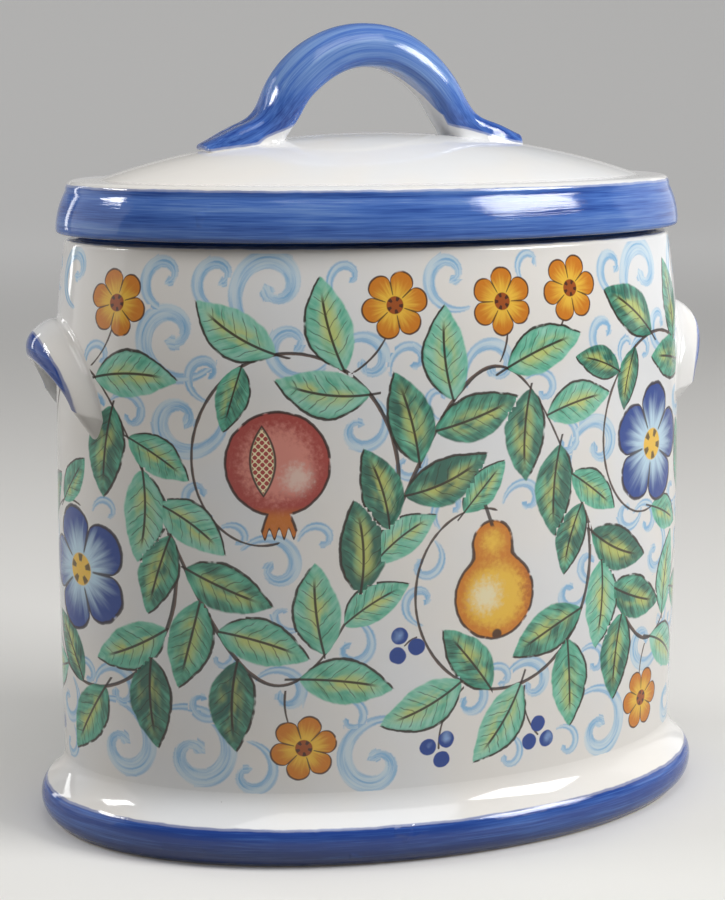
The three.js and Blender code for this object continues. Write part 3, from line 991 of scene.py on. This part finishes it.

# How loaded the brush is with cobalt on each piece; the handle's crown, then its folds.
# The ears' deeper cobalt is partly thicker paint and partly painted shade.
EAR_LOAD_AND_SHADE = 0.14
LID_LOAD = 0.02
# The foot's deeper cobalt is partly thick glaze and partly painted shade.
FOOT_LOAD_AND_SHADE = 0.16
WALL_LOAD = 0.05
HANDLE_LOADS = (-0.08, 0.08)
HANDLE_THIN_DROP = 8

# Relief of the glaze in millimetres, waves of its pinholes per millimetre, and its gloss.
SWELL_HEIGHT = 0.35
RIPPLE_HEIGHT = 0.022
PINHOLE_WAVES = 0.07
PINHOLE_DEPTH = 0.12
BLOB_HEIGHT = 0.5
STREAK_HEIGHTS = (0.12, 0.08)
BUMP_STRENGTH = 0.5
GLAZE_ROUGHNESS = 0.03
RIPPLE_ROUGHNESS = 0.08
CLAY_ROUGHNESS = 0.6
GLAZE_IOR = 1.52


class Shade:
    """Number at each point of a surface, worked out by shader nodes."""

    def __init__(self, tree, socket):
        self.tree = tree
        self.socket = socket

    def apply(self, operation, *others):
        node = new_node(self.tree, "Math")
        node.operation = operation
        for slot, value in zip(node.inputs, (self, *others)):
            plug(self.tree, value, slot)
        return Shade(self.tree, node.outputs[0])

    __add__ = __radd__ = partialmethod(apply, "ADD")
    __sub__ = partialmethod(apply, "SUBTRACT")
    __mul__ = __rmul__ = partialmethod(apply, "MULTIPLY")
    __truediv__ = partialmethod(apply, "DIVIDE")
    __pow__ = partialmethod(apply, "POWER")
    __abs__ = partialmethod(apply, "ABSOLUTE")
    root = partialmethod(apply, "SQRT")
    sin = partialmethod(apply, "SINE")
    cos = partialmethod(apply, "COSINE")
    arctan2 = partialmethod(apply, "ARCTAN2")
    fraction = partialmethod(apply, "FRACT")
    least = partialmethod(apply, "MINIMUM")
    most = partialmethod(apply, "MAXIMUM")
    join = partialmethod(apply, "SMOOTH_MAX")

    def __rsub__(self, other):
        return self.apply("MULTIPLY_ADD", -1.0, other)

    def step(self, low, high):
        """0 up to low and 1 from high on, or the other way round where low is higher."""
        node = new_node(self.tree, "MapRange", Value=self, From_Min=low, From_Max=high)
        node.interpolation_type = "SMOOTHSTEP"
        return Shade(self.tree, node.outputs["Result"])

    def between(self, start, full, fading, end):
        """0 up to start, 1 from full to fading, and 0 from end on."""
        return self.step(start, full) * self.step(end, fading)

    def swayed(self, noise, reach):
        """Moved to and fro by a noise."""
        return self + noise * reach - reach / 2


def plug(tree, value, slot):
    """Links a value to an input, or sets it there where it is the same all over."""
    if isinstance(value, Shade):
        value = value.socket
    if isinstance(value, bpy.types.NodeSocket):
        tree.links.new(value, slot)
    else:
        slot.default_value = value


def fill(node, **inputs):
    """Plugs values into a node's named inputs."""
    for name, value in inputs.items():
        plug(node.id_data, value, node.inputs[name.replace("_", " ")])
    return node


def new_node(tree, kind, **inputs):
    return fill(tree.nodes.new("ShaderNode" + kind), **inputs)


def far_from(x, y):
    """Distance of a point from the origin of its two coordinates."""
    return (x * x + y * y).root()


class Glaze:
    """One material: the colour laid so far, and helpers that lay more over it."""

    def __init__(self, name):
        self.material = bpy.data.materials.new(name)
        self.material.use_nodes = True
        self.tree = self.material.node_tree
        self.shader = self.tree.nodes["Principled BSDF"]
        scale = self.node("VectorMath", Vector=self.node("TexCoord").outputs["Object"])
        scale.operation = "SCALE"
        scale.inputs["Scale"].default_value = 1 / MM
        self.place = scale.outputs[0]
        self.colour = self.height = self.roughness = None

    def node(self, kind, **inputs):
        return new_node(self.tree, kind, **inputs)

    def noise(self, waves, detail=2.0, at=None):
        """Noise with so many waves per millimetre, over the surface or another place."""
        node = self.node("TexNoise", Vector=at or self.place, Scale=waves, Detail=detail)
        return Shade(self.tree, node.outputs["Fac"])

    def streaks(self, x, y, z):
        """Noise over a place given in three parts."""
        return self.noise(1.0, at=self.node("CombineXYZ", X=x, Y=y, Z=z).outputs[0])

    def attribute(self, name, output):
        node = self.node("Attribute")
        node.attribute_name = name
        return node.outputs[output]

    def guide(self, name):
        """The three parts of a paint guide."""
        return self.parts(self.attribute(name, "Vector"))

    def parts(self, vector):
        node = self.node("SeparateXYZ", Vector=vector)
        return [Shade(self.tree, socket) for socket in node.outputs]

    def blend(self, below, above, share):
        node = self.node("Mix", Factor=share)
        node.data_type = "RGBA"
        plug(self.tree, below, node.inputs[6])
        plug(self.tree, above, node.inputs[7])
        return node.outputs[2]

    def lay(self, colour, cover):
        self.colour = self.blend(self.colour, colour, cover)


def tin_glaze(name):
    """Milky tin glaze: slow warm and cool patches, pinholes, and a surface that is never quite flat."""
    glaze = Glaze(name)
    drift = glaze.noise(waves=0.018)
    glaze.colour = glaze.blend(WHITE_COOL, WHITE_WARM, drift.step(0.35, 0.65))
    cells = glaze.node("TexVoronoi", Vector=glaze.place, Scale=PINHOLE_WAVES)
    chance = glaze.parts(cells.outputs["Color"])[0]
    hole = Shade(glaze.tree, cells.outputs["Distance"]).step(0.034, 0.012) * chance.step(0.8, 0.84)
    glaze.lay(SPECK, hole * 0.75)
    swell = glaze.noise(waves=0.05)
    ripple = glaze.noise(waves=0.28)
    glaze.height = swell * SWELL_HEIGHT + ripple * RIPPLE_HEIGHT - hole * PINHOLE_DEPTH
    glaze.roughness = ripple * RIPPLE_ROUGHNESS + GLAZE_ROUGHNESS
    return glaze


def blue_bands(glaze, load):
    """Cobalt laid with a brush: streaks along the stroke, thin at its edge, blobs where it pooled."""
    brush = glaze.attribute("brush", "Vector")
    waver = glaze.noise(waves=0.14)
    depth = Shade(glaze.tree, glaze.attribute("blue", "Fac")).swayed(waver, 0.8)
    broad = glaze.noise(waves=0.5, at=brush)
    fine = glaze.noise(waves=2.8, at=brush)
    pool = glaze.noise(waves=0.035)
    thin = broad * 0.42 + fine * 0.34 + pool * 0.24 - load
    colour = glaze.blend(COBALT_DEEP, COBALT, thin.step(0.3, 0.52))
    colour = glaze.blend(colour, COBALT_THIN, thin.step(0.46, 0.74) * 0.8)
    cover = depth.step(-0.12, 0.28)
    glaze.lay(colour, cover * depth.step(0.0, 1.0).most(0.7))
    blob = glaze.noise(waves=0.11).step(0.66, 0.82)
    ridges = (broad - 0.5) * STREAK_HEIGHTS[0] + (fine - 0.5) * STREAK_HEIGHTS[1]
    glaze.height = glaze.height + cover * (blob * BLOB_HEIGHT + ridges)


def bare_clay(glaze, level):
    """Unglazed clay on the face that stands in the kiln."""
    bare = glaze.parts(glaze.place)[2].step(level, level / 2)
    grain = glaze.noise(waves=1.1, detail=4.0)
    glaze.lay(glaze.blend(CLAY, SPECK, grain.step(0.5, 0.8) * 0.5), bare)
    glaze.roughness = glaze.roughness + bare * CLAY_ROUGHNESS


def finish(glaze):
    bump = glaze.node("Bump", Strength=BUMP_STRENGTH, Distance=MM, Height=glaze.height)
    fill(glaze.shader, Base_Color=glaze.colour, Roughness=glaze.roughness, IOR=GLAZE_IOR)
    fill(glaze.shader, Normal=bump.outputs["Normal"])
    return glaze.material


def banded_glaze(name, load, bare_height=0):
    glaze = tin_glaze(name)
    blue_bands(glaze, load)
    if bare_height:
        bare_clay(glaze, bare_height)
    return finish(glaze)


def handle_glaze():
    """Lighter blue over the crown, deeper low on the legs where they fold down on the dome."""
    glaze = tin_glaze("handle_glaze_in_thin_cobalt")
    lower_down = glaze.parts(glaze.place)[2].step(STRAP_CROWN - HANDLE_THIN_DROP, DOME_TOP)
    thin, full = HANDLE_LOADS
    blue_bands(glaze, lower_down * (full - thin) + thin)
    return finish(glaze)


# Painted motifs. Scrolls and stems are drawn in millimetres, the rest with a motif's own size as 1.
def paint_scrolls(glaze):
    """Pale blue scrolls, streaked along the stroke, darker at its edges and where the brush lifted."""
    run, offset, width = glaze.guide("scroll")
    streak = glaze.streaks(run * 0.06, offset * 0.9, width * 0.3)
    depth = (width - abs(offset)).swayed(streak, 0.8)
    tone = streak + depth.step(0.9, 0.2) * 0.1
    colour = glaze.blend(SCROLL_PALE, SCROLL_BLUE, tone.step(0.4, 0.72))
    glaze.lay(colour, depth.step(-0.3, 0.5) * (streak * 0.8 + 0.35).least(1.0))


def paint_stems(glaze, waver):
    _, offset, width = glaze.guide("stem")
    cover = (width - abs(offset)).swayed(waver, 0.5).step(-0.14, 0.14)
    glaze.lay(glaze.blend(INK, BARK, offset.step(-0.1, 0.4) * 0.8), cover * 0.93)


def paint_leaves(glaze, waver):
    """Brushed leaves: streaks out from the rib, lime along it, inked rib, side veins and one edge."""
    u, v, seed = glaze.guide("leaf")
    v = v + (seed - 0.5) * LEAF_BEND * u * (u - 1.0)
    inside = u.most(LEAF_INSIDE[0]).least(LEAF_INSIDE[1])
    half = (inside ** LEAF_SKEW * math.pi).sin() ** LEAF_FULLNESS * LEAF_HALF_WIDTH
    edge = (half - abs(v)).swayed(waver, 0.05)
    body = edge.step(-0.012, 0.016) * u.between(0.0, 0.02, 0.98, 1.0)
    vein = u - abs(v) * 0.9
    streak = glaze.streaks(vein * 15.0, v * 5.0, seed * 40.0)
    patch = glaze.streaks(u * 3.0, v * 6.0, seed * 70.0)
    tone = streak * 0.45 + patch * 0.35 + seed * 0.3 - 0.05
    green = glaze.blend(LEAF_DARK, LEAF_GREEN, tone.step(0.3, 0.58))
    green = glaze.blend(green, LEAF_PALE, tone.step(0.5, 0.75) * 0.7)
    middle = (abs(v + 0.015) / half).step(0.72, 0.05) * u.between(0.08, 0.3, 0.6, 0.95)
    green = glaze.blend(green, LEAF_LIME, middle * patch.step(0.35, 0.6) * 0.8)
    green = glaze.blend(green, LEAF_DARK, edge.step(0.05, 0.0) * v.step(-0.02, 0.06) * 0.6)
    glaze.lay(green, body * 0.96)
    side = v.step(-0.005, 0.01)
    outline = abs(edge - 0.006).step(0.02, 0.009) * side * u.between(0.04, 0.12, 0.98, 1.02)
    rib = abs(v).step(0.019, 0.008) * u.between(-0.16, -0.14, 0.7, 0.86)
    comb = abs((vein * 7.0 + waver * 0.7).fraction() - 0.5)
    veins = comb.step(0.075, 0.03) * edge.step(0.03, 0.07) * u.between(0.1, 0.2, 0.8, 0.88) * 0.6
    broken = waver.step(0.28, 0.44)
    glaze.lay(INK, (outline * broken).most(rib).most(veins) * 0.92)


def fruit_edge(depth, waver, gap):
    """A fruit's depth with a brushed edge, the cover of its body, and a broken line round it."""
    depth = depth.swayed(waver, 0.02)
    outline = abs(depth - 0.004).step(0.014, 0.006) * waver.step(gap, gap + 0.12)
    return depth, depth.step(-0.006, 0.008), outline


def paint_pears(glaze, waver, grain):
    v, u, _ = glaze.guide("pear")
    low = 0.31 - far_from(u, v + 0.15)
    high = 0.155 - far_from(u, v - 0.24)
    depth, body, outline = fruit_edge(low.join(high, 0.16), waver, 0.3)
    light = far_from(u - 0.07, v + 0.14)
    colour = glaze.blend(AMBER, YELLOW, depth.swayed(grain, 0.12).step(0.02, 0.15))
    colour = glaze.blend(colour, CREAM, light.swayed(grain, 0.16).step(0.17, 0.03))
    colour = glaze.blend(colour, RUST, (u + grain * 0.25 - 0.1).step(-0.16, -0.3) * 0.55)
    glaze.lay(colour, body)
    eye = far_from(u, v + 0.43).step(0.045, 0.03)
    stalk = abs(u - (v - 0.36) * 0.3).step(0.018, 0.01) * v.between(0.34, 0.36, 0.5, 0.52)
    glaze.lay(INK, outline.most(eye).most(stalk) * 0.9)


def paint_pomegranates(glaze, waver, grain):
    v, u, _ = glaze.guide("pomegranate")
    ball = 0.36 - far_from(u, v + 0.08)
    neck = v - 0.2
    wave = (u * 48.0).sin()
    crown = (0.06 + neck * 0.34 - abs(u)).least(0.17 + wave * wave * 0.07 - neck).least(neck + 0.03)
    depth, body, outline = fruit_edge(ball.most(crown), waver, 0.28)
    light = far_from(u - 0.13, v - 0.02)
    colour = glaze.blend(CRIMSON, ROSE, depth.swayed(grain, 0.22).step(0.03, 0.2))
    colour = glaze.blend(colour, BLUSH, light.swayed(grain, 0.16).step(0.15, 0.02))
    colour = glaze.blend(colour, AMBER, v.step(0.2, 0.3) * 0.75)
    level = v + 0.1
    split = 0.085 - abs(u + 0.1) - level * level * 1.5
    seeds = ((u + v) * 62.0).sin() * ((u - v) * 62.0).sin()
    colour = glaze.blend(colour, CREAM, split.step(-0.004, 0.006))
    colour = glaze.blend(colour, CRIMSON, split.step(0.004, 0.014) * abs(seeds).step(0.15, 0.4))
    glaze.lay(colour, body)
    glaze.lay(INK, outline.most(abs(split).step(0.012, 0.004)) * body.most(outline) * 0.9)


def paint_flowers(glaze, name, petals, rim, heart, eye, waver):
    """Round flower with petals that pale towards a dotted eye."""
    v, u, seed = glaze.guide(name)
    radius = far_from(u, v)
    angle = v.arctan2(u)
    wave = abs((angle * (petals / 2)).cos())
    depth = (0.29 + wave.root() * 0.17 - radius).swayed(waver, 0.03)
    body = depth.step(-0.008, 0.01)
    streak = glaze.streaks(angle * 7.0, radius * 3.0, seed * 30.0)
    glaze.lay(glaze.blend(heart, rim, radius.swayed(streak, 0.3).step(0.12, 0.38)), body)
    gap = wave.step(0.2, 0.06) * radius.step(0.12, 0.15) * body
    outline = abs(depth - 0.006).step(0.018, 0.008) * waver.step(0.26, 0.38)
    glaze.lay(INK, outline.most(gap) * 0.85)
    glaze.lay(eye, radius.step(0.125, 0.11))
    dots = (angle * 5.0).sin().step(0.1, 0.5) * abs(radius - 0.085).step(0.035, 0.02)
    glaze.lay(INK, dots * 0.85)


def paint_berries(glaze, waver):
    """Three cobalt berries at the end of a twig."""
    v, u, _ = glaze.guide("berries")
    first, second, third = (far_from(u - x, v - y) for x, y in BERRY_PLACES)
    nearest = first.least(second).least(third)
    body = (nearest + waver * 0.05).step(0.215, 0.19)
    colour = glaze.blend(COBALT_DEEP, COBALT_THIN, (u * 0.5 + nearest + waver * 0.3).step(0.2, 0.0))
    glaze.lay(colour, body)


def wall_glaze():
    glaze = tin_glaze("painted_wall_glaze")
    waver = glaze.noise(waves=0.22)
    grain = glaze.noise(waves=0.75, detail=3.0)
    paint_scrolls(glaze)
    paint_stems(glaze, waver)
    paint_leaves(glaze, waver)
    paint_berries(glaze, waver)
    paint_flowers(glaze, "rosette", 6, AMBER, YELLOW, RUST, waver)
    paint_flowers(glaze, "bloom", 5, COBALT_DEEP, SCROLL_PALE, YELLOW, waver)
    paint_pears(glaze, waver, grain)
    paint_pomegranates(glaze, waver, grain)
    blue_bands(glaze, WALL_LOAD)
    return finish(glaze)


def build_jar():
    plain_glaze = banded_glaze("tin_glaze", 0.0)
    ear_glaze = banded_glaze("ear_glaze_with_cobalt_edge", EAR_LOAD_AND_SHADE)
    lid_glaze = banded_glaze("lid_glaze_with_cobalt_band", LID_LOAD)
    foot_glaze = banded_glaze("foot_glaze_with_bare_clay", FOOT_LOAD_AND_SHADE, FOOT_BARE_HEIGHT)
    rows, face_rows = wall_rows()
    wall = oval_rings(rows, JAR_PHASE, wall_blue, WALL_ANGLES)
    wall_piece = add_piece("jar_wall", wall, wall_glaze(), "jar", loop=True)
    paint_guides(wall_piece.data, rows, face_rows - 1)
    foot = oval_rings(foot_rows(), JAR_PHASE, foot_blue)
    add_piece("foot_ring", foot, foot_glaze, "jar", loop=True)
    add_piece("jar_floor", oval_rings(floor_rows(), JAR_PHASE), plain_glaze, "jar")
    for side, node in ((-1, "ear_left"), (1, "ear_right")):
        add_piece(node, ear_rings(side), ear_glaze, "jar")
    add_piece("lid_shell", oval_rings(lid_rows(), LID_PHASE, lid_blue), lid_glaze, "lid")
    add_piece("lid_flange", oval_rings(flange_rows(), LID_PHASE), plain_glaze, "lid", loop=True)
    add_piece("lid_handle", handle_rings(), handle_glaze(), "lid")


# Stage, in metres and radians: a round pale floor that curves up to a low rim, soft boxes, camera.
STAGE_RADIUS = 4.0
STAGE_BEND = 1.0
STAGE_COLUMNS = 96
PAPER_GLOWS = (0.05, 0.3)
PAPER_GLOW_REACH = (0.6 / MM, 2.6 / MM)
PAPER_ROUGHNESS = 0.7
SKY_STRENGTH = 0.15
JAR_MIDDLE = (0, 0, 0.13)
CAMERA_PLACE = (-0.2336, -0.6905, 0.2553)
CAMERA_HEADING = 0.3201
CAMERA_TILT = 0.1777
CAMERA_LENS = 83.8

# Soft boxes and pale cards that face the jar: place, size and watts.
LAMPS = {
    "soft_box_right": ((0.9, -0.73, 0.93), (0.6, 0.45), 14.4),
    "soft_box_left": ((-0.93, 0.19, 0.81), (0.34, 0.12), 3.4),
    "soft_box_back": ((-0.84, 1.0, 0.55), (0.12, 0.8), 1.4),
    "soft_card_left": ((-1.0, 0.31, 0.44), (0.95, 0.7), 1.6),
    "soft_card_right": ((1.04, 0.28, 0.4), (1.1, 0.6), 1.5),
    "soft_box_top": ((0.05, -0.5, 1.25), (0.9, 0.7), 4.6),
}


def pale_paper():
    """Pale to look at, but it throws little light back up at the jar."""
    paper = Glaze("pale_paper")
    path = paper.node("LightPath")
    rays = ("Is Camera Ray", "Is Glossy Ray", "Is Transmission Ray")
    camera, glossy, through = (Shade(paper.tree, path.outputs[ray]) for ray in rays)
    seen = camera.most(glossy).most(through)
    colour = paper.blend(PAPER_SHADE, PAPER, seen)
    x, y, _ = paper.parts(paper.place)
    near, far = PAPER_GLOWS
    glow = far_from(x, y).step(*PAPER_GLOW_REACH) * (far - near) + near
    fill(paper.shader, Base_Color=colour, Emission_Strength=seen * glow, Roughness=PAPER_ROUGHNESS)
    return paper.material


def build_stage():
    flat = STAGE_RADIUS - STAGE_BEND
    rise = bezier([(flat, 0), (STAGE_RADIUS, 0), (STAGE_RADIUS, STAGE_BEND)], steps=24)
    angles = np.linspace(0, 2 * np.pi, STAGE_COLUMNS, endpoint=False)
    points = [(0, 0, 0)]
    for radius, height in ((flat / 2, 0), *rise):
        points += [(radius * math.cos(a), radius * math.sin(a), height) for a in angles]
    mesh = bpy.data.meshes.new("pale_stage")
    mesh.from_pydata(points, [], ring_faces([1] + [STAGE_COLUMNS] * (len(rise) + 1), loop=False))
    mesh.shade_smooth()
    mesh.materials.append(pale_paper())
    stage = link("pale_stage", mesh)


def add_soft_box(name, place, size, watts):
    data = bpy.data.lights.new(name, "AREA")
    data.shape = "RECTANGLE"
    data.size, data.size_y = size
    data.energy = watts
    lamp = link(name, data)
    lamp.location = place
    x, y, z = np.array(JAR_MIDDLE) - np.array(place)
    lamp.rotation_euler = (math.atan2(math.hypot(x, y), -z), 0, math.atan2(-x, y))


def build_light():
    for name, setting in LAMPS.items():
        add_soft_box(name, *setting)
    world = bpy.data.worlds.new("studio")
    world.use_nodes = True
    fill(world.node_tree.nodes["Background"], Color=SKY, Strength=SKY_STRENGTH)
    bpy.context.scene.world = world


def build_camera():
    data = bpy.data.cameras.new("camera")
    data.lens = CAMERA_LENS
    camera = link("camera", data)
    camera.location = CAMERA_PLACE
    camera.rotation_euler = (math.pi / 2 - CAMERA_TILT, 0, -CAMERA_HEADING)
    bpy.context.scene.camera = camera


build_jar()
build_stage()
build_light()
build_camera()
bpy.context.scene.view_settings.view_transform = "Standard"
